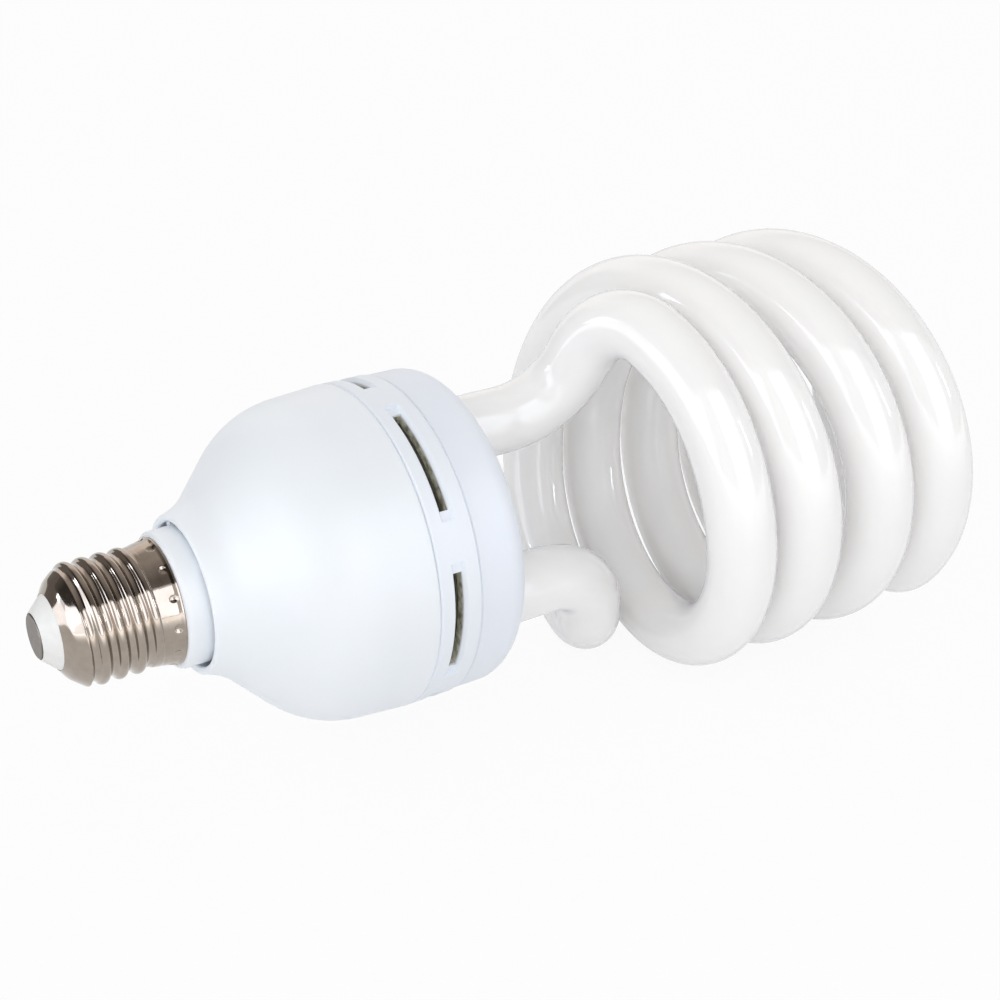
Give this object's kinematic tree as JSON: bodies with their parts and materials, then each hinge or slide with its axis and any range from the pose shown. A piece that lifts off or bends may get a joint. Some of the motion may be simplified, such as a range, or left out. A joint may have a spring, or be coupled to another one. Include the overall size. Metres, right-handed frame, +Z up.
{
  "type": "compact fluorescent lamp",
  "caption": "Spiral compact fluorescent lamp with a screw base, a flared white ballast housing with vent slots and a white double-helix tube.",
  "frame": {"origin": "middle of the centre contact's face", "axes": "+X along the lamp's axis from the base to the head of the spiral, +Z up, the lamp lying level"},
  "size_m": [0.228, 0.103, 0.103],
  "materials": {
    "contact": "dull soldered contact",
    "insulator": "moulded, white",
    "shell": "nickel plated, rolled thread",
    "housing": "moulded, satin white",
    "tube": "white phosphor coat behind gloss glass",
    "cement": "matt cement",
    "board": "bare laminate",
    "can": "shrunk sleeve",
    "ferrite": "sintered, matt",
    "bobbin": "moulded, black",
    "winding": "enamelled copper wire",
    "film": "dipped, red-brown",
    "package": "moulded, black",
    "thermistor": "dipped, green",
    "resistor": "lacquered, buff",
    "fuse": "glazed sleeve",
    "insulated_lead": "sleeved wire",
    "tinned_wire": "tinned"
  },
  "bodies": {
    "root": {"base_insulator": "insulator", "bulk_capacitor": "can", "centre_contact": "contact", "choke_bobbin": "bobbin", "choke_core": "ferrite", "choke_winding": "winding", "circuit_board": "board", "filament_lead_1": "tinned_wire", "filament_lead_2": "tinned_wire", "filament_lead_3": "tinned_wire", "filament_lead_4": "tinned_wire", "film_capacitor_1": "film", "film_capacitor_2": "film", "filter_core": "ferrite", "filter_winding": "winding", "fuse": "fuse", "line_lead": "insulated_lead", "lower_housing": "housing", "neutral_lead": "insulated_lead", "power_transistor_1": "package", "power_transistor_2": "package", "rectifier_diode_1": "package", "rectifier_diode_2": "package", "rectifier_diode_3": "package", "rectifier_diode_4": "package", "resistor_1": "resistor", "resistor_2": "resistor", "resistor_3": "resistor", "screw_shell": "shell", "spiral_tube": "tube", "thermistor": "thermistor", "toroid_core": "ferrite", "toroid_winding_1": "winding", "toroid_winding_2": "winding", "toroid_winding_3": "winding", "tube_cap": "housing", "tube_cement_1": "cement", "tube_cement_2": "cement", "vent_ring": "housing", "wrap_pin_1": "tinned_wire", "wrap_pin_2": "tinned_wire", "wrap_pin_3": "tinned_wire", "wrap_pin_4": "tinned_wire"}
  },
  "joints": []
}
